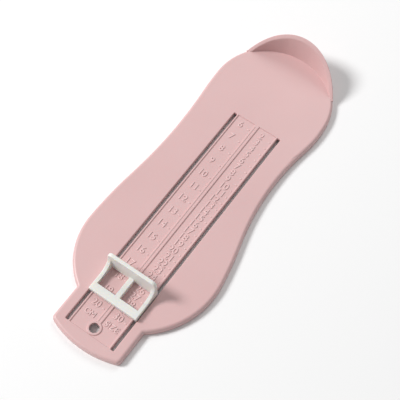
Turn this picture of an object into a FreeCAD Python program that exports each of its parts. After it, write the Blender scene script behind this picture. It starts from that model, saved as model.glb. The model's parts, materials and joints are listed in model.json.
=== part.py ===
import FreeCAD, Part
import math
import os
import re

import Sketcher
from FreeCAD import Vector

# Foot measuring gauge for small feet: a base plate with a heel cup and a toe slider.
# Millimetres. +Z is up, +Y points to the heel, +X to the right as the foot points.
# The origin lies on the floor, on the centre line of the scale, half way along the plate.

DIMENSIONS = [
    # Section of the plate
    ("plate_height", 4.2, "floor to the top of the deck"),
    ("deck_thickness", 1.9, "floor of the tray, turned upside down"),
    ("skirt_thickness", 1.8, "wall that stands round the edge"),
    ("edge_radius", 2.0, "rounding of the top edge"),
    # Outline, a chain of tangent arcs down each side. A lean is the outline's angle to the
    # centre line where an arc ends, in degrees: positive where the plate narrows tailwards.
    ("heel_reach", 114.2, "origin to the back of the heel, half the plate's length"),
    ("heel_radius", 38.0, "back of the heel"),
    ("heel_shift", 4.6, "heel centre, left of the scale's centre line"),
    ("left_heel_lean", 1.0, "degrees"),
    ("left_flank_radius", 211.0, "outward curve below the heel"),
    ("left_flank_lean", 6.0, "degrees"),
    ("left_waist_radius", 300.0, "inward curve of the waist"),
    ("left_waist_lean", -7.4, "degrees"),
    ("left_shoulder_radius", 275.0, "outward curve above the ball"),
    ("left_shoulder_lean", 0.1, "degrees"),
    ("left_toe_radius", 45.9, "ball and toes, left side"),
    ("right_heel_lean", -8.0, "degrees"),
    ("right_flank_radius", 71.0, "outward curve below the heel"),
    ("right_flank_lean", 10.4, "degrees"),
    ("right_waist_radius", 160.0, "inward curve of the instep"),
    ("right_waist_lean", -15.6, "degrees"),
    ("right_shoulder_radius", 241.0, "outward curve above the ball"),
    ("right_shoulder_lean", -9.0, "degrees"),
    ("right_toe_radius", 50.9, "ball and toes, right side"),
    ("tail_length", 26.2, "neck to the tail's end"),
    ("tail_margin", 7.7, "slot's centre line to the tail's side"),
    ("tail_end_radius", 60.5, "curve of the tail's end"),
    ("tail_corner_radius", 3.0, "outer corners of the tail"),
    ("neck_corner_radius", 1.2, "inner corners where the tail starts"),
    # Heel cup
    ("cup_height", 18.2, "deck to the highest point of the rim"),
    ("cup_slope", 47.5, "degrees, tilt of the rim's plane"),
    ("cup_base_thickness", 3.7, "wall of the cup at the deck, at the back of the heel"),
    ("cup_rim_thickness", 1.7, "wall of the cup along the whole rim"),
    ("cup_end_margin", 0.4, "wall's foot past the rim's low ends, along Y"),
    ("cup_trim", 2.0, "spare height that the rim's plane cuts away"),
    ("cup_rim_chamfer", 0.4, "rim's two long edges"),
    # Slots and scale panel
    ("slot_spacing", 31.0, "centre to centre"),
    ("slot_width", 2.0, "each slot"),
    ("slot_start", 54.8, "heel stop to the slots' heel end"),
    ("slot_tail_margin", 8.4, "slots' other end to the tail's end"),
    ("slot_corner_radius", 0.45, "corners of each slot, seen from above"),
    ("slot_chamfer", 0.35, "slot's top edges"),
    ("slot_rib_width", 1.1, "rib left standing between each slot and the panel"),
    ("panel_depth", 0.6, "sunk field that carries the numerals"),
    ("panel_chamfer", 0.25, "panel's top edges"),
    ("divider_width", 3.0, "bar between the two scales"),
    ("divider_groove_width", 1.1, "shallow groove along the bar"),
    ("divider_groove_depth", 0.2, "shallow groove along the bar"),
    # Hanging eye
    ("eye_radius", 2.95, "bore"),
    ("eye_ring_width", 1.3, "raised ring round the bore"),
    ("eye_ring_gap", 0.25, "ring to the end of the panel"),
    ("eye_flat_depth", 0.2, "flat across the bore at the bar's end"),
    ("eye_flat_turn", 15.0, "degrees, the flat leans to the right"),
    # Toe slider
    ("slider_rest", 23.8, "slots' tail end to the rear legs, at rest"),
    ("rail_overhang", 0.8, "slot's centre line to the rail's outer face"),
    ("frame_overhang", 3.5, "rear legs to the frame's rear edge"),
    ("frame_thickness", 3.0, "window frame"),
    ("rail_width", 2.3, "side rails and gussets"),
    ("centre_bar_width", 3.2, "bar between the windows"),
    ("rear_bar_width", 5.0, "bar behind the windows"),
    ("toe_wall_thickness", 2.3, "wall that the toes touch"),
    ("toe_wall_height", 14.9, "over the deck"),
    ("toe_wall_corner_radius", 3.0, "top corners of the wall"),
    ("gusset_drop", 0.7, "wall's rounded corner to the top of the gusset's hollow curve"),
    ("slider_edge_radius", 0.4, "small rounding of the visible edges"),
    ("wall_edge_radius", 0.7, "rounding along the toe side of the wall"),
    # Snap legs
    ("leg_clearance", 0.25, "leg to each side of its slot"),
    ("leg_length", 5.0, "each leg, along the slot"),
    ("leg_gap", 4.5, "front leg to rear leg"),
    ("hook_reach", 1.1, "hook beyond the leg, outwards"),
    ("hook_floor_gap", 0.9, "hook's lowest point to the floor"),
    ("running_gap", 0.2, "slider to deck, above and below"),
]

SHEET = "Dimensions"
ALIASES = [alias for alias, _, _ in DIMENSIONS]

doc = FreeCAD.newDocument("FootGauge")
sheet = doc.addObject("Spreadsheet::Sheet", SHEET)
for row, (alias, size, note) in enumerate(DIMENSIONS, start=1):
    sheet.set(f"A{row}", alias)
    sheet.set(f"B{row}", str(size))
    sheet.set(f"C{row}", note)
    sheet.setAlias(f"B{row}", alias)
doc.recompute()


# ---------------------------------------------------------------- helpers

def cells(formula):
    """The formula with every alias written as a cell of the sheet."""
    words = "|".join(sorted(ALIASES, key=len, reverse=True))
    return re.sub(rf"\b({words})\b", rf"{SHEET}.\1", formula)


def number(formula):
    """The formula's value, as a float."""
    result = sheet.evalExpression(formula)
    return float(getattr(result, "Value", result))


def bind(thing, path, formula):
    """Ties a property of a feature to the sheet."""
    thing.setExpression(path, cells(formula))


def new_body(label):
    body = doc.addObject("PartDesign::Body", label)
    body.Label = label
    return body


def origin_feature(body, role):
    return next(item for item in body.Origin.OriginFeatures if item.Role == role)


def new_sketch(body, name, plane, offsets=None):
    """A sketch on one of the body's own planes. offsets gives x, y, z in that plane's axes."""
    sketch = body.newObject("Sketcher::SketchObject", name)
    sketch.AttachmentSupport = (origin_feature(body, plane), [""])
    sketch.MapMode = "FlatFace"
    for axis, formula in (offsets or {}).items():
        bind(sketch, f"AttachmentOffset.Base.{axis}", formula)
    return sketch


def hold(sketch, kind, *where, formula=None):
    """Adds a constraint. One with a size is tied to the sheet by its formula."""
    if formula is None:
        return sketch.addConstraint(Sketcher.Constraint(kind, *where))
    size = number(formula)
    if kind == "Angle":
        size = FreeCAD.Units.Quantity(f"{size} deg")
    index = sketch.addConstraint(Sketcher.Constraint(kind, *where, size))
    bind(sketch, f"Constraints[{index}]", formula)
    return index


def hold_point(sketch, geometry, end, x=None, y=None):
    """Places one end of an edge, measured from the sketch's own origin."""
    if x is not None:
        hold(sketch, "DistanceX", -1, 1, geometry, end, formula=x)
    if y is not None:
        hold(sketch, "DistanceY", -1, 1, geometry, end, formula=y)


def closed_lines(sketch, corners):
    """A closed run of straight lines. Each corner is a pair of formulas, or None to leave free."""
    points = [Vector(number(x), number(y), 0) for x, y in corners]
    lines = []
    for start, end in zip(points, points[1:] + points[:1]):
        lines.append(sketch.addGeometry(Part.LineSegment(start, end), False))
    for this, following in zip(lines, lines[1:] + lines[:1]):
        hold(sketch, "Coincident", this, 2, following, 1)
    return lines


def polygon(sketch, corners):
    """Straight-sided outline with every corner placed by its two formulas."""
    for line, (x, y) in zip(closed_lines(sketch, corners), corners):
        hold_point(sketch, line, 1, x, y)


def rectangle(sketch, left, right, low, high):
    """Upright rectangle from the formulas of its four sides."""
    corners = [(left, low), (right, low), (right, high), (left, high)]
    bottom, right_side, top, left_side = closed_lines(sketch, corners)
    for line in (bottom, top):
        hold(sketch, "Horizontal", line)
    for line in (right_side, left_side):
        hold(sketch, "Vertical", line)
    hold_point(sketch, bottom, 1, left, low)
    hold_point(sketch, top, 1, right, high)


def feature(body, kind, name, sketch=None, **settings):
    item = body.newObject(f"PartDesign::{kind}", name)
    if sketch is not None:
        item.Profile = sketch
        sketch.Visibility = False
    for key, content in settings.items():
        setattr(item, key, content)
    return item


def pad(body, name, sketch, length, **settings):
    item = feature(body, "Pad", name, sketch, **settings)
    bind(item, "Length", length)
    doc.recompute()
    return item


def pocket(body, name, sketch, length=None, **settings):
    """Cuts the sketch out of the body, and makes sure that it took something away."""
    before = body.Shape.Volume
    if length is None:
        settings["Type"] = "ThroughAll"
    item = feature(body, "Pocket", name, sketch, **settings)
    if length is not None:
        bind(item, "Length", length)
    doc.recompute()
    assert body.Shape.Volume < before, f"{name} cut nothing"
    return item


def dress(body, kind, name, size_path, size, chosen):
    """Fillet or chamfer on the edges for which chosen(edge) is true."""
    base = body.Tip
    names = [f"Edge{i}" for i, edge in enumerate(base.Shape.Edges, start=1) if chosen(edge)]
    assert names, f"{name} found no edge"
    item = body.newObject(f"PartDesign::{kind}", name)
    item.Base = (base, names)
    bind(item, size_path, size)
    doc.recompute()
    return item


def fillet(body, name, radius, chosen):
    return dress(body, "Fillet", name, "Radius", radius, chosen)


def chamfer(body, name, size, chosen):
    return dress(body, "Chamfer", name, "Size", size, chosen)


def near(a, b, slack=1e-4):
    return abs(a - b) < slack


def flat_at(edge, height):
    """True for an edge that lies wholly at one height."""
    box = edge.BoundBox
    return near(box.ZMin, height) and near(box.ZMax, height)


def upright(edge):
    """True for a vertical line."""
    box = edge.BoundBox
    return near(box.XLength, 0) and near(box.YLength, 0) and box.ZLength > 0


def inside(edge, x_low, x_high, y_low, y_high):
    """True for an edge that stays within a rectangle, seen from above."""
    box = edge.BoundBox
    lows = ((box.XMin, x_low), (box.YMin, y_low))
    highs = ((box.XMax, x_high), (box.YMax, y_high))
    above = all(value > limit or near(value, limit) for value, limit in lows)
    return above and all(value < limit or near(value, limit) for value, limit in highs)


# ---------------------------------------------------------------- outline of the plate

HEEL_X = "-heel_shift"
HEEL_Y = "(heel_reach - heel_radius)"
HALF_TAIL = "(slot_spacing / 2 + tail_margin)"

# From the back of the heel down to the neck: +1 bulges outwards, -1 is hollow.
CHAIN = [("heel", 1), ("flank", 1), ("waist", -1), ("shoulder", 1), ("toe", 1)]


def radius_of(side, arc):
    return "heel_radius" if arc == "heel" else f"{side}_{arc}_radius"


def toe_centre(side):
    """Formulas for the centre of the toe arc, found by adding up the steps from each arc's
    centre to the next, from the heel's centre down."""
    outwards = "-" if side == "left" else ""
    across, along = HEEL_X, HEEL_Y
    for (arc, bulge), (following, next_bulge) in zip(CHAIN, CHAIN[1:]):
        step = f"({bulge} * {radius_of(side, arc)} - ({next_bulge}) * {radius_of(side, following)})"
        lean = f"({side}_{arc}_lean * 1deg)"
        across += f" + {outwards}{step} * cos({lean})"
        along += f" - {step} * sin({lean})"
    return f"({across})", f"({along})"


def neck_y(side):
    """Formula for where, along Y, the toe arc meets the tail's side."""
    across, along = toe_centre(side)
    neck_x = f"-{HALF_TAIL}" if side == "left" else HALF_TAIL
    return f"({along} - sqrt({side}_toe_radius ^ 2 - ({neck_x} - {across}) ^ 2))"


TAIL_Y = f"(min({neck_y('left')}; {neck_y('right')}) - tail_length)"


def polar(centre, radius, angle):
    return Vector(centre.x + radius * math.cos(angle), centre.y + radius * math.sin(angle), 0)


def side_of_outline(sketch, side, inset):
    """Draws the tangent arcs of one side. Returns the heel's arc and the toe's arc, each with
    the ends where the chain enters and leaves it, and the point where it ends at the neck."""
    turn = 1 if side == "left" else -1
    enter, leave = (1, 2) if turn > 0 else (2, 1)
    start = Vector(number(HEEL_X), number(f"heel_reach - ({inset})"), 0)
    facing, lean_before = math.pi / 2, "-90"
    neck_x = -turn * number(f"{HALF_TAIL} - ({inset})")
    arcs = []
    for name, bulge in CHAIN:
        radius_formula = f"{radius_of(side, name)} - ({bulge}) * ({inset})"
        radius = number(radius_formula)
        centre = polar(start, -bulge * radius, facing)
        if name == "toe":
            across = (neck_x - centre.x) / radius
            finish = math.atan2(-math.sqrt(1 - across ** 2), across)
            swept = (turn * (finish - facing)) % (2 * math.pi)
        else:
            sweep_formula = f"({bulge}) * ({side}_{name}_lean - ({lean_before}))"
            lean_before = f"{side}_{name}_lean"
            swept = bulge * math.radians(number(sweep_formula))
        finish = facing + turn * swept
        ring = Part.Circle(centre, Vector(0, 0, 1), radius)
        flip = 0 if bulge > 0 else math.pi
        first, last = sorted((facing + flip, finish + flip))
        arc = sketch.addGeometry(Part.ArcOfCircle(ring, first, last), False)
        ends = (enter, leave) if bulge > 0 else (leave, enter)
        if arcs:
            hold(sketch, "Tangent", arcs[-1][0], arcs[-1][2], arc, ends[0])
        if name != "toe":
            hold(sketch, "Angle", arc, formula=sweep_formula)
        if name != "heel" or side == "left":
            hold(sketch, "Radius", arc, formula=radius_formula)
        arcs.append((arc, *ends))
        start, facing = polar(centre, bulge * radius, finish), finish
    return arcs[0], arcs[-1], start


def outline(sketch, inset="0"):
    """The footprint's closed outline, moved inwards by inset."""
    left_heel, left_toe, left_neck = side_of_outline(sketch, "left", inset)
    right_heel, right_toe, right_neck = side_of_outline(sketch, "right", inset)
    hold_point(sketch, left_heel[0], 3, HEEL_X, HEEL_Y)
    hold(sketch, "Coincident", right_heel[0], 3, left_heel[0], 3)
    hold(sketch, "Coincident", right_heel[0], right_heel[1], left_heel[0], left_heel[1])
    hold(sketch, "Vertical", left_heel[0], left_heel[1], left_heel[0], 3)

    half_width = f"{HALF_TAIL} - ({inset})"
    end_radius = f"tail_end_radius - ({inset})"
    centre_y = f"{TAIL_Y} + tail_end_radius"
    centre = Vector(0, number(centre_y), 0)
    lean = math.asin(number(half_width) / number(end_radius))
    circle = Part.Circle(centre, Vector(0, 0, 1), number(end_radius))
    down = 1.5 * math.pi
    end_arc = sketch.addGeometry(Part.ArcOfCircle(circle, down - lean, down + lean), False)
    hold(sketch, "PointOnObject", end_arc, 3, -2)
    hold_point(sketch, end_arc, 3, y=centre_y)
    hold(sketch, "Radius", end_arc, formula=end_radius)

    for sign, toe, neck, corner_end in (("-", left_toe, left_neck, 1), ("", right_toe, right_neck, 2)):
        corner = polar(centre, number(end_radius), down + (lean if corner_end == 2 else -lean))
        line = sketch.addGeometry(Part.LineSegment(neck, corner), False)
        hold(sketch, "Coincident", line, 1, toe[0], toe[2])
        hold(sketch, "Coincident", line, 2, end_arc, corner_end)
        hold(sketch, "Vertical", line)
        hold_point(sketch, line, 1, x=f"{sign}({half_width})")


# ---------------------------------------------------------------- base plate

SLOT_TOP_Y = "(heel_reach - cup_base_thickness - slot_start)"
SLOT_END_Y = f"({TAIL_Y} + slot_tail_margin)"
HALF_PANEL = "((slot_spacing - slot_width) / 2 - slot_rib_width)"
EYE_RING_RADIUS = "(eye_radius + eye_ring_width)"
EYE_Y = f"({SLOT_END_Y} + eye_ring_gap + {EYE_RING_RADIUS})"
EYE_FLAT_REACH = "(eye_radius - eye_flat_depth)"
DECK_UNDERSIDE_Z = "(plate_height - deck_thickness)"
RIM_LOW_Y = "(heel_reach - cup_height / tan(cup_slope * 1deg))"
RIM_TOP_Z = "(plate_height + cup_height + cup_trim)"
# The cup's inner side opens upwards. Its axis stands in front of the heel's centre, by as
# much as it takes for the wall to be equally thick all along the sloping rim.
CUP_DRAFT = "((cup_base_thickness - cup_rim_thickness) / cup_height)"
HOLLOW_SHIFT = f"(heel_radius * tan(cup_slope * 1deg) * {CUP_DRAFT})"
HOLLOW_RADIUS = f"(heel_radius - cup_base_thickness + {HOLLOW_SHIFT})"
HOLLOW_Y = f"({HEEL_Y} - {HOLLOW_SHIFT})"
CUP_END_Y = f"({RIM_LOW_Y} - cup_end_margin)"
CUP_SPAN = f"(2 * acos(({CUP_END_Y} - {HEEL_Y}) / heel_radius))"


def add_deck(plate):
    """Footprint slab, hollowed from below, with rounded corners and a rounded top edge."""
    slab = new_sketch(plate, "OutlineSketch", "XY_Plane")
    outline(slab)
    pad(plate, "Slab", slab, "plate_height")

    tray = new_sketch(plate, "TraySketch", "XY_Plane")
    outline(tray, "skirt_thickness")
    pocket(plate, "Tray", tray, DECK_UNDERSIDE_Z, Reversed=True)

    half_tail = number(HALF_TAIL)
    eye_y = number(EYE_Y)

    def tail_edge(edge, below_eye):
        middle = edge.BoundBox.Center
        return upright(edge) and near(abs(middle.x), half_tail) and (middle.y < eye_y) == below_eye

    fillet(plate, "TailCorners", "tail_corner_radius", lambda edge: tail_edge(edge, True))
    fillet(plate, "NeckCorners", "neck_corner_radius", lambda edge: tail_edge(edge, False))
    top = number("plate_height")
    fillet(plate, "TopEdge", "edge_radius", lambda edge: flat_at(edge, top))


def add_heel_cup(plate):
    """Wall round the back of the heel. Its outside follows the heel's edge, its inside is
    drafted, and a tilted plane trims its rim, from the deck at each end up to the back."""
    outside = new_sketch(plate, "CupOutsideSection", "YZ_Plane", {"x": HEEL_Y, "z": HEEL_X})
    rectangle(outside, "heel_radius - 0.6 * cup_rim_thickness", "heel_radius",
              "plate_height - edge_radius", RIM_TOP_Z)
    skin = feature(plate, "Revolution", "CupOutside", outside, Midplane=True)
    skin.ReferenceAxis = (outside, ["V_Axis"])
    bind(skin, "Angle", CUP_SPAN)
    doc.recompute()

    foot_z = "plate_height - deck_thickness / 2"
    inner_radius = f"{HOLLOW_RADIUS} - plate_height * {CUP_DRAFT}"
    crescent = new_sketch(plate, "CupCrescent", "XY_Plane", {"z": foot_z})
    rings = [(HEEL_Y, "heel_radius - 0.3 * cup_rim_thickness"), (HOLLOW_Y, inner_radius)]
    arcs = []
    for centre_y, radius in rings:
        centre = Vector(number(HEEL_X), number(centre_y), 0)
        lean = math.asin((number(CUP_END_Y) - centre.y) / number(radius))
        circle = Part.Circle(centre, Vector(0, 0, 1), number(radius))
        arc = crescent.addGeometry(Part.ArcOfCircle(circle, lean, math.pi - lean), False)
        hold_point(crescent, arc, 3, HEEL_X, centre_y)
        hold(crescent, "Radius", arc, formula=radius)
        hold_point(crescent, arc, 1, y=CUP_END_Y)
        hold_point(crescent, arc, 2, y=CUP_END_Y)
        arcs.append((circle, lean, arc))
    for end in (1, 2):
        points = [ring.value(lean if end == 1 else math.pi - lean) for ring, lean, _ in arcs]
        line = crescent.addGeometry(Part.LineSegment(*points), False)
        for line_end, (_, _, arc) in enumerate(arcs, start=1):
            hold(crescent, "Coincident", line, line_end, arc, end)
    pad(plate, "CupWall", crescent, f"{RIM_TOP_Z} - ({foot_z})")

    trim = new_sketch(plate, "RimPlane", "YZ_Plane")
    over = "2 * cup_trim"
    top_z = f"plate_height + cup_height + {over}"
    polygon(trim, [
        (RIM_LOW_Y, "plate_height"),
        (f"heel_reach + {over} / tan(cup_slope * 1deg)", top_z),
        (HEEL_Y, top_z),
        (HEEL_Y, "plate_height"),
    ])
    trimmed = pocket(plate, "RimCut", trim, SideType="Symmetric")

    inner, faces = number(inner_radius), enumerate(trimmed.Shape.Faces, start=1)
    names = [f"Face{i}" for i, face in faces if near(getattr(face.Surface, "Radius", 0), inner)]
    assert len(names) == 1, f"CupDraft found {len(names)} faces"
    before = trimmed.Shape.Volume
    drafted = plate.newObject("PartDesign::Draft", "CupDraft")
    drafted.Base = (trimmed, names)
    drafted.NeutralPlane = (origin_feature(plate, "XY_Plane"), [""])
    bind(drafted, "Angle", f"atan({CUP_DRAFT})")
    doc.recompute()
    assert plate.Shape.Volume < before, "CupDraft took nothing away"


def add_scale_panel(plate):
    """Sunk field between the slots, with the dividing bar and the eye's ring left standing."""
    field = new_sketch(plate, "PanelSketch", "XY_Plane", {"z": "plate_height"})
    rectangle(field, f"-{HALF_PANEL}", HALF_PANEL, SLOT_END_Y, SLOT_TOP_Y)
    pocket(plate, "Panel", field, "panel_depth")

    floor = {"z": "plate_height - panel_depth"}
    bar = new_sketch(plate, "DividerSketch", "XY_Plane", floor)
    rectangle(bar, "-divider_width / 2", "divider_width / 2", EYE_Y, SLOT_TOP_Y)
    pad(plate, "Divider", bar, "panel_depth")

    ring = new_sketch(plate, "EyeRingSketch", "XY_Plane", floor)
    circle = Part.Circle(Vector(0, number(EYE_Y), 0), Vector(0, 0, 1), number(EYE_RING_RADIUS))
    disc = ring.addGeometry(circle, False)
    hold(ring, "PointOnObject", disc, 3, -2)
    hold_point(ring, disc, 3, y=EYE_Y)
    hold(ring, "Radius", disc, formula=EYE_RING_RADIUS)
    pad(plate, "EyeRing", ring, "panel_depth")

    top = number("plate_height")
    half = number(HALF_PANEL)
    low, high = number(SLOT_END_Y), number(SLOT_TOP_Y)
    chamfer(plate, "PanelEdges", "panel_chamfer",
            lambda edge: flat_at(edge, top) and inside(edge, -half, half, low, high))

    groove = new_sketch(plate, "GrooveSketch", "XY_Plane", {"z": "plate_height"})
    rectangle(groove, "-divider_groove_width / 2", "divider_groove_width / 2",
              f"{EYE_Y} + {EYE_RING_RADIUS}", f"{SLOT_TOP_Y} - divider_width / 2")
    pocket(plate, "Groove", groove, "divider_groove_depth")


def add_eye(plate):
    """Hanging bore with one flat, where the dividing bar ends in it."""
    sketch = new_sketch(plate, "EyeSketch", "XY_Plane", {"z": "plate_height"})
    radius = number("eye_radius")
    centre = Vector(0, number(EYE_Y), 0)
    middle = math.radians(90 - number("eye_flat_turn"))
    half = math.acos(number(EYE_FLAT_REACH) / radius)
    circle = Part.Circle(centre, Vector(0, 0, 1), radius)
    first, last = middle + half, middle - half + 2 * math.pi
    arc = sketch.addGeometry(Part.ArcOfCircle(circle, first, last), False)
    flat = Part.LineSegment(polar(centre, radius, first), polar(centre, radius, last))
    line = sketch.addGeometry(flat, False)
    hold(sketch, "PointOnObject", arc, 3, -2)
    hold_point(sketch, arc, 3, y=EYE_Y)
    hold(sketch, "Radius", arc, formula="eye_radius")
    hold(sketch, "Coincident", line, 1, arc, 1)
    hold(sketch, "Coincident", line, 2, arc, 2)
    hold(sketch, "Distance", arc, 3, line, formula=EYE_FLAT_REACH)
    hold(sketch, "Angle", line, formula="-eye_flat_turn")
    pocket(plate, "Eye", sketch)


def add_slots(plate):
    """Two slots right through the deck, with small corner radii and broken top edges."""
    sketch = new_sketch(plate, "SlotSketch", "XY_Plane", {"z": "plate_height"})
    inner, outer = "(slot_spacing - slot_width) / 2", "(slot_spacing + slot_width) / 2"
    rectangle(sketch, f"-{outer}", f"-{inner}", SLOT_END_Y, SLOT_TOP_Y)
    rectangle(sketch, inner, outer, SLOT_END_Y, SLOT_TOP_Y)
    pocket(plate, "Slots", sketch)

    near_side, far_side = number(inner), number(outer)
    low, high = number(SLOT_END_Y), number(SLOT_TOP_Y)
    top = number("plate_height")

    def on_slot(edge):
        left = inside(edge, -far_side, -near_side, low, high)
        return left or inside(edge, near_side, far_side, low, high)

    fillet(plate, "SlotCorners", "slot_corner_radius", lambda edge: upright(edge) and on_slot(edge))
    chamfer(plate, "SlotEdges", "slot_chamfer", lambda edge: flat_at(edge, top) and on_slot(edge))


def soften_rim(plate):
    """Breaks the long edges of the heel cup's rim."""
    low_y = number(RIM_LOW_Y)
    deck_z = number("plate_height")
    slope = math.tan(math.radians(number("cup_slope")))

    def on_rim(edge):
        if near(edge.BoundBox.ZMax, deck_z) or edge.Curve.TypeId == "Part::GeomLine":
            return False
        points = edge.discretize(5)
        return all(near(point.z - deck_z, slope * (point.y - low_y), 1e-3) for point in points)

    chamfer(plate, "RimEdges", "cup_rim_chamfer", on_rim)


def make_base_plate():
    plate = new_body("base_plate")
    add_deck(plate)
    add_heel_cup(plate)
    add_scale_panel(plate)
    add_eye(plate)
    add_slots(plate)
    soften_rim(plate)
    return plate


# ---------------------------------------------------------------- toe slider

REAR_LEG_Y = f"({SLOT_END_Y} + slider_rest)"
WALL_REAR_Y = f"({REAR_LEG_Y} + 2 * leg_length + leg_gap)"
TOE_FACE_Y = f"({WALL_REAR_Y} + toe_wall_thickness)"
FRAME_REAR_Y = f"({REAR_LEG_Y} - frame_overhang)"
WINDOW_LOW_Y = f"({FRAME_REAR_Y} + rear_bar_width)"
HALF_SLIDER = "(slot_spacing / 2 + rail_overhang)"
RAIL_INSIDE = f"({HALF_SLIDER} - rail_width)"
FRAME_LOW_Z = "(plate_height + running_gap)"
FRAME_TOP_Z = f"({FRAME_LOW_Z} + frame_thickness)"
WALL_TOP_Z = "(plate_height + toe_wall_height)"
GUSSET_RADIUS = f"({WALL_TOP_Z} - toe_wall_corner_radius - gusset_drop - {FRAME_TOP_Z})"
LEG_THICKNESS = "(slot_width - 2 * leg_clearance)"
HOOK_TOP_Z = f"({DECK_UNDERSIDE_Z} - running_gap)"


def add_frame(slider):
    """Flat frame with a reading window over each scale."""
    sketch = new_sketch(slider, "FrameSketch", "XY_Plane", {"z": FRAME_LOW_Z})
    rectangle(sketch, f"-{HALF_SLIDER}", HALF_SLIDER, FRAME_REAR_Y, TOE_FACE_Y)
    rectangle(sketch, f"-{RAIL_INSIDE}", "-centre_bar_width / 2", WINDOW_LOW_Y, WALL_REAR_Y)
    rectangle(sketch, "centre_bar_width / 2", RAIL_INSIDE, WINDOW_LOW_Y, WALL_REAR_Y)
    pad(slider, "Frame", sketch, "frame_thickness")


def add_toe_wall(slider):
    """Upright wall with two rounded top corners."""
    sketch = new_sketch(slider, "ToeWallSketch", "XZ_Plane", {"z": f"-{TOE_FACE_Y}"})
    rectangle(sketch, f"-{HALF_SLIDER}", HALF_SLIDER, FRAME_LOW_Z, WALL_TOP_Z)
    pad(slider, "ToeWall", sketch, "toe_wall_thickness")
    top, half = number(WALL_TOP_Z), number(HALF_SLIDER)

    def top_corner(edge):
        return flat_at(edge, top) and near(abs(edge.BoundBox.Center.x), half)

    fillet(slider, "ToeWallCorners", "toe_wall_corner_radius", top_corner)


def add_gussets(slider):
    """Hollow-curved cheek on each side rail, from the rail up to the wall."""
    sketch = new_sketch(slider, "GussetSketch", "YZ_Plane", {"z": RAIL_INSIDE})
    wall_y, low, top = number(WALL_REAR_Y), number(FRAME_LOW_Z), number(FRAME_TOP_Z)
    radius, rear_y = number(GUSSET_RADIUS), number(FRAME_REAR_Y)
    corners = [Vector(wall_y, top + radius, 0), Vector(wall_y, low, 0), Vector(rear_y, low, 0),
               Vector(rear_y, top, 0), Vector(wall_y - radius, top, 0)]
    lines = [sketch.addGeometry(Part.LineSegment(*pair), False) for pair in zip(corners, corners[1:])]
    circle = Part.Circle(Vector(wall_y - radius, top + radius, 0), Vector(0, 0, 1), radius)
    curve = sketch.addGeometry(Part.ArcOfCircle(circle, 1.5 * math.pi, 2 * math.pi), False)
    for this, following in zip(lines, lines[1:]):
        hold(sketch, "Coincident", this, 2, following, 1)
    hold(sketch, "Tangent", lines[-1], 2, curve, 1)
    hold(sketch, "Coincident", curve, 2, lines[0], 1)
    for line, kind in zip(lines, ("Vertical", "Horizontal", "Vertical", "Horizontal")):
        hold(sketch, kind, line)
    hold_point(sketch, lines[0], 2, WALL_REAR_Y, FRAME_LOW_Z)
    hold_point(sketch, lines[2], 2, FRAME_REAR_Y, FRAME_TOP_Z)
    hold(sketch, "Radius", curve, formula=GUSSET_RADIUS)
    hold(sketch, "Horizontal", curve, 3, curve, 2)
    right = pad(slider, "RightGusset", sketch, "rail_width")
    both = slider.newObject("PartDesign::Mirrored", "Gussets")
    both.Originals = [right]
    both.MirrorPlane = (origin_feature(slider, "YZ_Plane"), [""])
    slider.Tip = both
    doc.recompute()


def add_snap_legs(slider):
    """Four legs through the slots. Each ends in an outward hook with a sloping lead-in."""
    sketch = new_sketch(slider, "LegSketch", "XZ_Plane", {"z": f"-{WALL_REAR_Y}"})
    inner = f"((slot_spacing - {LEG_THICKNESS}) / 2)"
    outer = f"((slot_spacing + {LEG_THICKNESS}) / 2)"
    tip = f"({outer} + hook_reach)"
    land_z = f"({HOOK_TOP_Z} - ({HOOK_TOP_Z} - hook_floor_gap) / 3)"
    profile = [
        (inner, FRAME_LOW_Z), (outer, FRAME_LOW_Z), (outer, HOOK_TOP_Z), (tip, HOOK_TOP_Z),
        (tip, land_z), (outer, "hook_floor_gap"), (inner, "hook_floor_gap"),
    ]
    polygon(sketch, profile)
    polygon(sketch, [(f"-{x}", z) for x, z in profile])
    front = pad(slider, "FrontLegs", sketch, "leg_length")
    pair = slider.newObject("PartDesign::LinearPattern", "Legs")
    pair.Originals = [front]
    pair.Direction = (sketch, ["N_Axis"])
    bind(pair, "Length", "leg_length + leg_gap")
    pair.Occurrences = 2
    slider.Tip = pair
    doc.recompute()


def soften_slider(slider):
    """Small roundings on the edges that fingers and toes touch."""
    half, rail_inside = number(HALF_SLIDER), number(RAIL_INSIDE)
    rear, window_low = number(FRAME_REAR_Y), number(WINDOW_LOW_Y)
    face, wall_rear = number(TOE_FACE_Y), number(WALL_REAR_Y)
    frame_top, wall_top = number(FRAME_TOP_Z), number(WALL_TOP_Z)

    def toe_side(edge):
        box = edge.BoundBox
        return near(box.YMin, face) and near(box.YMax, face) and box.ZMax > frame_top

    def outside(edge):
        box = edge.BoundBox
        on_flank = near(box.XLength, 0) and near(abs(box.XMin), half)
        on_rear = near(box.YMax, rear)
        on_crest = near(box.YMin, wall_rear) and near(box.ZMax, wall_top)
        above = box.ZMax > frame_top or near(box.ZMax, frame_top)
        behind = box.YMax < wall_rear or near(box.YMax, wall_rear)
        return above and behind and (on_flank or on_rear or on_crest)

    def window(edge):
        box = edge.BoundBox
        if near(abs(box.Center.x), rail_inside) or near(box.YMin, wall_rear):
            return False
        within = inside(edge, -rail_inside, rail_inside, window_low, wall_rear)
        return within and flat_at(edge, frame_top)

    fillet(slider, "WallEdge", "wall_edge_radius", toe_side)
    fillet(slider, "OutsideEdges", "slider_edge_radius", outside)
    fillet(slider, "WindowEdges", "slider_edge_radius", window)


def make_toe_slider():
    slider = new_body("toe_slider")
    add_frame(slider)
    add_toe_wall(slider)
    add_gussets(slider)
    add_snap_legs(slider)
    soften_slider(slider)
    return slider


# ---------------------------------------------------------------- build, check and export

SUB_PARTS = [make_base_plate(), make_toe_slider()]
doc.recompute()

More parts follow.
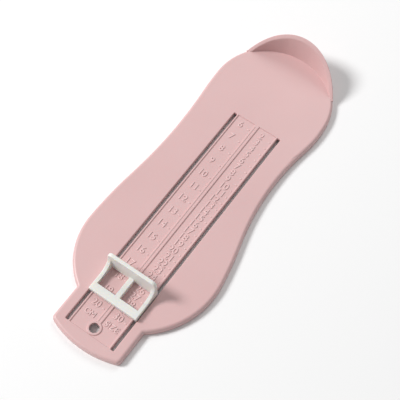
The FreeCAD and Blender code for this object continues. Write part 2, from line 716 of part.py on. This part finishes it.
for item in doc.Objects:
    faults = {"Invalid", "Error"} & set(item.State)
    assert not faults, f"{item.Label}: {item.State}"
for body in SUB_PARTS:
    shape = body.Shape
    assert not shape.isNull() and shape.isValid(), f"{body.Label} has no valid shape"
    assert len(shape.Solids) == 1, f"{body.Label} has {len(shape.Solids)} solids"
    print(f"{body.Label}: {shape.Volume / 1000:.2f} cm3, {shape.BoundBox}")

os.makedirs("parts", exist_ok=True)
for body in SUB_PARTS:
    body.Shape.exportStep(f"parts/{body.Label}.step")
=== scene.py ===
# %% [markdown]
# # A foot gauge for small feet
# The gauge is two injection mouldings. A pink plate, shaped like a footprint, carries a heel
# cup and a raised scale. A white slider runs in two slots of the plate and stops at the toes.
# The CAD model holds both at their real size, so this script only gives them their finish:
# softened edges, raised numerals, satin plastic, and a plain studio around them.

# %% Load the CAD model as a fixed frame
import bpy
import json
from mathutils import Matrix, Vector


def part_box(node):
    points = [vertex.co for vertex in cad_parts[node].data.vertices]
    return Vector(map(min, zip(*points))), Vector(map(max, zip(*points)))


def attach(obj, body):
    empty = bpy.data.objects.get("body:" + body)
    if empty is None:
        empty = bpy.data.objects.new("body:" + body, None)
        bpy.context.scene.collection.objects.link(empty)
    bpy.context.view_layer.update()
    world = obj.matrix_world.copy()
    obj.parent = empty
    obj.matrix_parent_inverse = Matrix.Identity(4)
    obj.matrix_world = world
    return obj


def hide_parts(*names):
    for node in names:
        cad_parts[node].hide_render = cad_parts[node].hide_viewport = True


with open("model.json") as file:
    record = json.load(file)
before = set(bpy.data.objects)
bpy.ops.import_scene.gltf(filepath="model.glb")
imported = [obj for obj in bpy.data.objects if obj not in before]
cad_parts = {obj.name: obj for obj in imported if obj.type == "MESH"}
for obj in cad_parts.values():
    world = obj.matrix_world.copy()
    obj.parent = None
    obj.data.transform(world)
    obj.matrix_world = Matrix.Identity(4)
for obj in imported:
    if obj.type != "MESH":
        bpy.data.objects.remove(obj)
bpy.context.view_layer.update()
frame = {"nodes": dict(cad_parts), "record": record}

# %% Tools and units
import json
import math

import bmesh
import bpy
from mathutils import Vector

MM = 0.001

# %% [markdown]
# ## Places that the CAD model gives
# Everything added here has to sit on the plate, so its place is read from the frame. The
# hanging eye's bore ends at the deck's top. The scale counts from the heel stop, which is the
# inner face of the heel cup.

# %% Heights and the scale's zero
mounts = {mount["name"]: mount for mount in frame["record"]["mounts"]}
eye = mounts["hanging_eye"]
plate_low, plate_high = (Vector(corner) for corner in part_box("base_plate"))

PANEL_DEPTH = 0.6 * MM
HEEL_WALL = 3.7 * MM
deck_top = eye["pos_m"][2] + eye["dims"]["length_mm"] * MM / 2
panel_floor = deck_top - PANEL_DEPTH
heel_stop_y = plate_high.y - HEEL_WALL
print(f"deck top {deck_top / MM:.2f} mm, panel floor {panel_floor / MM:.2f} mm")
print(f"the scale's zero is at y = {heel_stop_y / MM:.1f} mm")

# %% [markdown]
# ## Two mouldings with softened edges
# No moulded edge is truly sharp: a tool cuts it with a tiny radius, and that radius catches a
# thin line of light. The CAD solids have sharp edges at the slots, the panel and the windows.
# Each solid is copied, its loose triangles are merged, and flat faces are joined again. A
# face with holes can't be one polygon, so a few straight cuts go through the slots, windows
# and legs. A Bevel modifier then rounds each edge that has a bevel weight: those that turn
# more than a limit. At the two ends of the heel cup the edges are too short for it, so the
# shading is split there instead, which keeps the small corners crisp. A Weighted Normal
# modifier keeps the large flat faces flat in the shading.
#
# The plate's top edge is rounded too. Where its outline is hollow, some of the solid's
# triangles run across the rounding and leave folds. Beautify Fill turns their diagonals to the
# flattest choice and moves no corner, so the shape stays the CAD model's.

# %% A helper that makes a moulding from a CAD node
MERGE_DISTANCE = 0.002 * MM
FLAT_ANGLE = math.radians(0.1)
SHARP_ANGLE = math.radians(32)
EDGE_ROUNDING = 0.12 * MM
EDGE_SEGMENTS = 2
BARE_REACH = 4 * MM
BARE_SHARP_ANGLE = math.radians(20)


def add_piece(name, shape):
    """Puts a bmesh into the scene as an object at the origin, with smooth shading."""
    for face in shape.faces:
        face.smooth = True
    mesh = bpy.data.meshes.new(name)
    shape.to_mesh(mesh)
    shape.free()
    piece = bpy.data.objects.new(name, mesh)
    bpy.context.scene.collection.objects.link(piece)
    return piece


def is_bare(point, bare_places):
    """True for a point near one of the places, seen from above."""
    return any((point.xy - Vector(place)).length < BARE_REACH for place in bare_places)


def turn_diagonals(shape, chosen):
    """Turns the diagonals between the triangles for which chosen(face) is true."""
    faces = {face for face in shape.faces if chosen(face)}
    edges = [edge for edge in shape.edges
             if edge.link_faces and all(face in faces for face in edge.link_faces)]
    bmesh.ops.beautify_fill(shape, faces=list(faces), edges=edges, method="ANGLE")
    print(f"turned diagonals among {len(faces)} triangles")


def weigh_edges(shape, bare_places):
    """Gives the sharp edges a bevel weight of 1. Near the places that stay bare, the shading
    is split at them instead."""
    weight = shape.edges.layers.float.new("bevel_weight_edge")
    for edge in shape.edges:
        middle = (edge.verts[0].co + edge.verts[1].co) / 2
        turn = edge.calc_face_angle() if len(edge.link_faces) == 2 else 0
        if is_bare(middle, bare_places):
            edge.smooth = turn < BARE_SHARP_ANGLE
        elif turn > SHARP_ANGLE:
            edge[weight] = 1


def round_edges(piece, width):
    """Rounds the weighted edges and keeps flat faces flat in the shading."""
    rounding = piece.modifiers.new("moulded edges", "BEVEL")
    rounding.affect = "EDGES"
    rounding.width = width
    rounding.segments = EDGE_SEGMENTS
    rounding.profile = 0.5
    rounding.material = -1
    rounding.limit_method = "WEIGHT"
    rounding.use_clamp_overlap = False
    shading = piece.modifiers.new("even shading", "WEIGHTED_NORMAL")
    shading.mode = "FACE_AREA"
    shading.weight = 100
    shading.keep_sharp = True


def moulding_from(node, name, cuts, bare_places=(), folded=None):
    """A copy of a CAD node with merged corners and softly rounded edges. cuts are the x of the
    straight cuts that go through its holes. folded(face) tells which diagonals are turned."""
    shape = bmesh.new()
    shape.from_mesh(frame["nodes"][node].data)
    bmesh.ops.remove_doubles(shape, verts=shape.verts, dist=MERGE_DISTANCE)
    if folded:
        turn_diagonals(shape, folded)
    for x in cuts:
        bmesh.ops.bisect_plane(shape, geom=[*shape.verts, *shape.edges, *shape.faces],
                               plane_co=(x, 0, 0), plane_no=(1, 0, 0), dist=MERGE_DISTANCE)
    on_a_cut = {edge for edge in shape.edges for x in cuts
                if all(abs(vertex.co.x - x) < MERGE_DISTANCE for vertex in edge.verts)}
    free = [edge for edge in shape.edges if edge not in on_a_cut]
    bmesh.ops.dissolve_limit(shape, angle_limit=FLAT_ANGLE, verts=shape.verts, edges=free)
    weigh_edges(shape, bare_places)
    piece = add_piece(name, shape)
    piece.data.materials.clear()
    round_edges(piece, EDGE_ROUNDING)
    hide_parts(node)
    print(f"{name}: {len(piece.data.vertices)} corners, {len(piece.data.polygons)} faces")
    return piece


# %% The plate and the slider
SLOT_X = 15.5 * MM
WINDOW_X = 8.3 * MM
CUP_ENDS = ((-36.3 * MM, 97.2 * MM), (27.1 * MM, 97.2 * MM))
TOP_EDGE_RADIUS = 2 * MM
SCALE_X = 18 * MM                # the slots and the panel lie within this
SCALE_TAIL_Y, SCALE_HEEL_Y = -108 * MM, 60 * MM
SLACK = 0.01 * MM
UPRIGHT, LEVEL = 0.0005, 0.99999    # the normal's z on the skirt and on the deck


def on_top_edge(face):
    """True for a triangle of the plate's rounded top edge, away from the cup's ends."""
    heights = [vertex.co.z for vertex in face.verts]
    in_height = (min(heights) > deck_top - TOP_EDGE_RADIUS - SLACK
                 and max(heights) < deck_top + SLACK)
    centre = face.calc_center_median()
    in_scale = abs(centre.x) < SCALE_X and SCALE_TAIL_Y < centre.y < SCALE_HEEL_Y
    curved = UPRIGHT < abs(face.normal.z) < LEVEL
    return in_height and curved and not in_scale and not is_bare(centre, CUP_ENDS)


plate_moulding = moulding_from(
    "base_plate", "plate_moulding", cuts=(-SLOT_X, 0, SLOT_X), bare_places=CUP_ENDS,
    folded=on_top_edge)
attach(plate_moulding, "plate")

slider_moulding = moulding_from(
    "toe_slider", "slider_moulding", cuts=(-SLOT_X, -WINDOW_X, WINDOW_X, SLOT_X))
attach(slider_moulding, "slider")

# %% [markdown]
# ## Raised numerals
# The numerals are part of the plate's moulding: strokes a little over half a millimetre wide
# stand up from the sunk panel and stay just below the deck, so that the slider clears them.
# A text curve gives the digits. It is extruded, gets a small bevel along its top, and is made
# a mesh before its place is applied. One object holds a whole column.

# %% A helper that makes one raised word
DIGIT_HEIGHT = 4.0 * MM
RELIEF = 0.42 * MM
ROOT = 0.1 * MM                  # how far a raised shape reaches into the panel's floor
RELIEF_ROUNDING = 0.2 * MM
STROKE_OFFSET = 0.08 * MM
CURVE_STEPS = 5
ROUNDING_STEPS = 1
TEXT_MERGE_DISTANCE = 1e-4       # in the text's own units, at a size of 1


def raised_word(word, height, centre_y, centre_x=None, right_x=None):
    """A bmesh of one word that stands on the panel's floor, centred at centre_x or ending at
    right_x."""
    curve = bpy.data.curves.new("word", "FONT")
    curve.body = word
    curve.size = 1
    curve.resolution_u = CURVE_STEPS
    probe = bpy.data.objects.new("word", curve)
    flat = bpy.data.meshes.new_from_object(probe)
    tallest = max(vertex.co.y for vertex in flat.vertices)
    lowest = min(vertex.co.y for vertex in flat.vertices)
    bpy.data.meshes.remove(flat)
    factor = height / (tallest - lowest)
    curve.extrude = (RELIEF + ROOT) / 2 / factor - RELIEF_ROUNDING / factor
    curve.bevel_depth = RELIEF_ROUNDING / factor
    curve.bevel_resolution = ROUNDING_STEPS
    curve.offset = STROKE_OFFSET / factor - RELIEF_ROUNDING / factor
    solid = bpy.data.meshes.new_from_object(probe)
    shape = bmesh.new()
    shape.from_mesh(solid)
    bpy.data.objects.remove(probe)
    bpy.data.curves.remove(curve)
    bpy.data.meshes.remove(solid)
    bmesh.ops.remove_doubles(shape, verts=shape.verts, dist=TEXT_MERGE_DISTANCE)
    bmesh.ops.scale(shape, vec=(factor,) * 3, verts=shape.verts)
    low = Vector(min(v.co[axis] for v in shape.verts) for axis in range(3))
    high = Vector(max(v.co[axis] for v in shape.verts) for axis in range(3))
    if right_x is None:
        shift_x = centre_x - (low.x + high.x) / 2
    else:
        shift_x = right_x - high.x
    shift_y = centre_y - (low.y + high.y) / 2
    shift_z = panel_floor - ROOT - low.z
    bmesh.ops.translate(shape, vec=(shift_x, shift_y, shift_z), verts=shape.verts)
    return shape


def join_words(words):
    """One bmesh from several, which are freed."""
    joined = bmesh.new()
    for word in words:
        mesh = bpy.data.meshes.new("word")
        word.to_mesh(mesh)
        word.free()
        joined.from_mesh(mesh)
        bpy.data.meshes.remove(mesh)
    return joined


def raised_piece(name, words):
    """A column of raised words, moulded with the plate."""
    piece = add_piece(name, join_words(words))
    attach(piece, "plate")
    print(f"{name}: {len(piece.data.polygons)} faces")
    return piece


# %% The centimetre column and the size column
CENTIMETRE = 10 * MM
SIZE_STEP = 5 * MM
NUMERAL_LIFT = 0.7 * MM          # the numerals stand a little nearer the heel than their marks
CM_SINGLE_X, CM_RIGHT_X = -8.7 * MM, -5.3 * MM
SIZE_SINGLE_X, SIZE_RIGHT_X = 6.0 * MM, 9.8 * MM
CENTIMETRES = range(6, 21)
SIZES = range(2, 31)
FIRST_SIZE_REACH = 60 * MM       # heel stop to the first size's mark


def centimetre_y(number):
    """Where a centimetre's mark stands."""
    return heel_stop_y - number * CENTIMETRE


def size_y(number):
    """Where a size's mark stands."""
    return heel_stop_y - FIRST_SIZE_REACH - (number - SIZES[0]) * SIZE_STEP


def column(numbers, place_of, single_x, right_x):
    """Raised numerals down one column. Two digits end at right_x, one digit is centred."""
    words = []
    for number in numbers:
        y = place_of(number) + NUMERAL_LIFT
        if number < 10:
            words.append(raised_word(str(number), DIGIT_HEIGHT, centre_x=single_x, centre_y=y))
        else:
            words.append(raised_word(str(number), DIGIT_HEIGHT, right_x=right_x, centre_y=y))
    return words


centimetre_numerals = raised_piece(
    "centimetre_numerals", column(CENTIMETRES, centimetre_y, CM_SINGLE_X, CM_RIGHT_X))
size_numerals = raised_piece(
    "size_numerals", column(SIZES, size_y, SIZE_SINGLE_X, SIZE_RIGHT_X))

# %% The two plain headings
HEADING_HEIGHT = 3.4 * MM
HEADING_X = 7.5 * MM
HEADING_DROP = 5.8 * MM          # last mark to the headings' centre
headings_y = centimetre_y(CENTIMETRES[-1]) - HEADING_DROP
headings = raised_piece("scale_headings", [
    raised_word("CM", HEADING_HEIGHT, centre_x=-HEADING_X, centre_y=headings_y),
    raised_word("SIZE", HEADING_HEIGHT, centre_x=HEADING_X, centre_y=headings_y),
])

# %% [markdown]
# ## Tick marks
# Short raised bars stand at each centimetre beside the dividing bar, and at each size beside
# the right slot. Each is a small box with its top edges bevelled.

# %% The ticks
TICK_WIDTH = 0.5 * MM
TICK_RELIEF = 0.3 * MM
TICK_SEGMENTS = 2


def tick(left, right, y):
    """A bmesh of one raised bar on the panel's floor."""
    shape = bmesh.new()
    bmesh.ops.create_cube(shape, size=1)
    height = TICK_RELIEF + ROOT
    bmesh.ops.scale(shape, vec=(right - left, TICK_WIDTH, height), verts=shape.verts)
    centre = ((left + right) / 2, y, panel_floor - ROOT + height / 2)
    bmesh.ops.translate(shape, vec=centre, verts=shape.verts)
    top = panel_floor + TICK_RELIEF / 2
    edges = [edge for edge in shape.edges if all(vertex.co.z > top for vertex in edge.verts)]
    bmesh.ops.bevel(shape, geom=edges, offset=RELIEF_ROUNDING, segments=TICK_SEGMENTS,
                    profile=0.5, affect="EDGES", material=-1)
    return shape


CM_TICK = (-3.8 * MM, -2.2 * MM)
SIZE_TICK = (11.5 * MM, 12.8 * MM)
centimetre_ticks = raised_piece(
    "centimetre_ticks", [tick(*CM_TICK, centimetre_y(number)) for number in CENTIMETRES])
size_ticks = raised_piece(
    "size_ticks", [tick(*SIZE_TICK, size_y(number)) for number in SIZES])

# %% [markdown]
# ## Satin plastic
# Both mouldings are satin plastic with a very fine texture from the tool's surface. The
# colour drifts a little over the part, the texture is a bump of a few micrometres, and a
# little light scatters under the surface, which softens the shading of the thin walls. The
# strokes of the scale are smoother. Their colour is also a shade lighter: a painted highlight
# that stands for the light their raised edges catch.


# %% A helper for satin plastic
PLASTIC_IOR = 1.5
DRIFT_SCALE = 18                 # the two tones change over a few centimetres
DRIFT_RANGE = (0.3, 0.7)
GRAIN_SCALE = 2600               # the texture's grains are well under a millimetre
GRAIN_STRENGTH = 0.15
GRAIN_DEPTH = 0.02 * MM
NOISE_DETAIL = 2
SHEEN_DRIFT = 0.04               # how much the roughness changes with the grains


def linear(red, green, blue):
    """Linear colour from the usual 0 to 255 values."""
    def channel(value):
        value /= 255
        return value / 12.92 if value <= 0.04045 else ((value + 0.055) / 1.055) ** 2.4
    return (channel(red), channel(green), channel(blue), 1)


def satin_plastic(name, light, dark, roughness, scatter, depth, spread):
    """Moulded plastic whose colour drifts between two close tones. scatter, depth and spread
    say how much light goes under the surface, how far, and each colour's share of that way."""
    material = bpy.data.materials.new(name)
    material.use_nodes = True
    nodes, links = material.node_tree.nodes, material.node_tree.links
    surface = nodes["Principled BSDF"]
    surface.inputs["IOR"].default_value = PLASTIC_IOR
    surface.inputs["Subsurface Weight"].default_value = scatter
    surface.inputs["Subsurface Radius"].default_value = spread
    surface.inputs["Subsurface Scale"].default_value = depth

    place = nodes.new("ShaderNodeTexCoord")
    drift = nodes.new("ShaderNodeTexNoise")
    drift.inputs["Scale"].default_value = DRIFT_SCALE
    drift.inputs["Detail"].default_value = NOISE_DETAIL
    tones = nodes.new("ShaderNodeValToRGB")
    tones.color_ramp.elements[0].position = DRIFT_RANGE[0]
    tones.color_ramp.elements[0].color = dark
    tones.color_ramp.elements[1].position = DRIFT_RANGE[1]
    tones.color_ramp.elements[1].color = light
    links.new(place.outputs["Object"], drift.inputs["Vector"])
    links.new(drift.outputs["Fac"], tones.inputs["Fac"])
    links.new(tones.outputs["Color"], surface.inputs["Base Color"])

    texture = nodes.new("ShaderNodeTexNoise")
    texture.inputs["Scale"].default_value = GRAIN_SCALE
    texture.inputs["Detail"].default_value = NOISE_DETAIL
    links.new(place.outputs["Object"], texture.inputs["Vector"])
    bump = nodes.new("ShaderNodeBump")
    bump.inputs["Strength"].default_value = GRAIN_STRENGTH
    bump.inputs["Distance"].default_value = GRAIN_DEPTH
    links.new(texture.outputs["Fac"], bump.inputs["Height"])
    links.new(bump.outputs["Normal"], surface.inputs["Normal"])

    sheen = nodes.new("ShaderNodeMapRange")
    sheen.inputs["To Min"].default_value = roughness - SHEEN_DRIFT
    sheen.inputs["To Max"].default_value = roughness + SHEEN_DRIFT
    links.new(texture.outputs["Fac"], sheen.inputs["Value"])
    links.new(sheen.outputs["Result"], surface.inputs["Roughness"])
    return material


# %% The two plastics
PINK_SPREAD = (1, 0.25, 0.2)     # red light goes deepest into pink plastic
STROKE_SPREAD = (1, 0.6, 0.5)
WHITE_SPREAD = (1, 0.8, 0.55)
pink_plastic = satin_plastic(
    "pink_satin", light=linear(221, 184, 183), dark=linear(217, 180, 179),
    roughness=0.4, scatter=0.05, depth=1.5 * MM, spread=PINK_SPREAD)
# The strokes' lower roughness is a real finish, but their lighter tones are a painted
# highlight.
polished_pink_painted_highlight = satin_plastic(
    "pink_polished_painted_highlight", light=linear(230, 197, 196), dark=linear(226, 193, 192),
    roughness=0.34, scatter=0.05, depth=1 * MM, spread=STROKE_SPREAD)
white_plastic = satin_plastic(
    "white_satin", light=linear(234, 234, 230), dark=linear(230, 230, 225),
    roughness=0.4, scatter=0.4, depth=2.5 * MM, spread=WHITE_SPREAD)

plate_moulding.data.materials.append(pink_plastic)
# The numerals, headings and ticks get the painted highlight: a lighter pink than the plate's.
for piece in (centimetre_numerals, size_numerals, headings, centimetre_ticks, size_ticks):
    piece.data.materials.append(polished_pink_painted_highlight)
slider_moulding.data.materials.append(white_plastic)

# %% [markdown]
# ## A plain studio
# The gauge lies on a plain white floor. Soft light comes from all round, a lamp at the left
# gives the shapes their shade, and a weaker one past the heel lights the cup. Their shares and
# the light from all round add up to 1, so that a colour renders about as it is written.
#
# The floor and the backdrop are white where the camera, a gloss or a glass shows them, and
# darker where they only light the gauge. The floor stays a diffuse surface, so it keeps the
# gauge's shadow.

# %% A helper that tells what is seen from what only gives light
def is_seen(nodes, links):
    """A factor of 1 for rays that show a thing: straight, in a gloss or through a glass."""
    ray = nodes.new("ShaderNodeLightPath")
    seen = ray.outputs["Is Camera Ray"]
    for other in ("Is Glossy Ray", "Is Transmission Ray"):
        either = nodes.new("ShaderNodeMath")
        either.operation = "MAXIMUM"
        links.new(seen, either.inputs[0])
        links.new(ray.outputs[other], either.inputs[1])
        seen = either.outputs["Value"]
    return seen


# %% The floor
FLOOR_SIZE = 3.0
FLOOR_DROP = 0.05 * MM           # the floor lies a hair below the skirt's foot
PAPER_GREY = 0.88                # what the floor reflects onto the gauge
PAPER_ROUGHNESS = 0.9
WHITE = (1, 1, 1, 1)

floor_shape = bmesh.new()
bmesh.ops.create_grid(floor_shape, x_segments=1, y_segments=1, size=FLOOR_SIZE / 2)
bmesh.ops.translate(floor_shape, vec=(0, 0, plate_low.z - FLOOR_DROP), verts=floor_shape.verts)
floor = add_piece("floor", floor_shape)

paper = bpy.data.materials.new("white_paper")
paper.use_nodes = True
paper_nodes, paper_links = paper.node_tree.nodes, paper.node_tree.links
plain = paper_nodes["Principled BSDF"]
plain.inputs["Base Color"].default_value = (PAPER_GREY, PAPER_GREY, PAPER_GREY, 1)
plain.inputs["Roughness"].default_value = PAPER_ROUGHNESS
bright = paper_nodes.new("ShaderNodeBsdfDiffuse")
bright.inputs["Color"].default_value = WHITE
shown = paper_nodes.new("ShaderNodeMixShader")
paper_links.new(is_seen(paper_nodes, paper_links), shown.inputs["Fac"])
paper_links.new(plain.outputs["BSDF"], shown.inputs[1])
paper_links.new(bright.outputs["BSDF"], shown.inputs[2])
paper_links.new(shown.outputs["Shader"], paper_nodes["Material Output"].inputs["Surface"])
floor.data.materials.append(paper)

# %% Soft light from all round
AROUND = 0.30                    # share of the light that comes from all round

world = bpy.data.worlds.new("studio")
bpy.context.scene.world = world
world.use_nodes = True
sky_nodes, sky_links = world.node_tree.nodes, world.node_tree.links
around = sky_nodes["Background"]
around.inputs["Color"].default_value = WHITE
around.inputs["Strength"].default_value = AROUND
backdrop = sky_nodes.new("ShaderNodeBackground")
backdrop.inputs["Color"].default_value = WHITE
backdrop.inputs["Strength"].default_value = 1
pick = sky_nodes.new("ShaderNodeMixShader")
sky_links.new(is_seen(sky_nodes, sky_links), pick.inputs["Fac"])
sky_links.new(around.outputs["Background"], pick.inputs[1])
sky_links.new(backdrop.outputs["Background"], pick.inputs[2])
sky_links.new(pick.outputs["Shader"], sky_nodes["World Output"].inputs["Surface"])


# %% A window lamp at the left and a softer one past the heel
def aim(item, target):
    """Turns a lamp or camera so that it looks at a point."""
    item.rotation_euler = (Vector(target) - item.location).to_track_quat("-Z", "Y").to_euler()


def hang_lamp(name, side, height, distance, size, share):
    """A round lamp that adds the given share of light to the deck. side is the direction that
    it stands in, counted from +X, and height is its angle above the floor."""
    data = bpy.data.lights.new(name, "AREA")
    data.shape = "DISK"
    data.size = size
    data.energy = share * math.pi ** 2 * distance ** 2 / math.sin(height)
    lamp = bpy.data.objects.new(name, data)
    lamp.location = distance * Vector((
        math.cos(height) * math.cos(side), math.cos(height) * math.sin(side), math.sin(height)))
    aim(lamp, (0, 0, 0))
    bpy.context.scene.collection.objects.link(lamp)
    print(f"{name} at {tuple(round(place, 2) for place in lamp.location)} m")


hang_lamp("window_lamp", side=math.radians(203), height=math.radians(42),
          distance=2.4, size=0.75, share=0.55)
hang_lamp("heel_lamp", side=math.radians(98), height=math.radians(45),
          distance=1.6, size=0.8, share=0.15)

# %% [markdown]
# ## The camera
# It looks down steeply from the tail's right side, from a little over half a metre, so that
# the gauge runs from the lower left to the upper right.

# %% The camera
CAMERA_TURN = math.radians(35.63)      # round the vertical, from looking along +Y
CAMERA_TILT = math.radians(62.70)      # above the floor
CAMERA_DISTANCE = 598 * MM
CAMERA_TARGET = Vector((1.13, -4.72, 4.2)) * MM
CAMERA_LENS = 93.55                    # in mm, on a sensor of SENSOR_WIDTH
SENSOR_WIDTH = 36
NEAREST_SEEN = 0.01

camera_data = bpy.data.cameras.new("studio_camera")
camera_data.lens = CAMERA_LENS
camera_data.sensor_width = SENSOR_WIDTH
camera_data.clip_start = NEAREST_SEEN
camera = bpy.data.objects.new("studio_camera", camera_data)
camera.location = CAMERA_TARGET + CAMERA_DISTANCE * Vector((
    math.sin(CAMERA_TURN) * math.cos(CAMERA_TILT),
    -math.cos(CAMERA_TURN) * math.cos(CAMERA_TILT),
    math.sin(CAMERA_TILT)))
aim(camera, CAMERA_TARGET)
bpy.context.scene.collection.objects.link(camera)
bpy.context.scene.camera = camera
bpy.context.scene.view_settings.view_transform = "Standard"
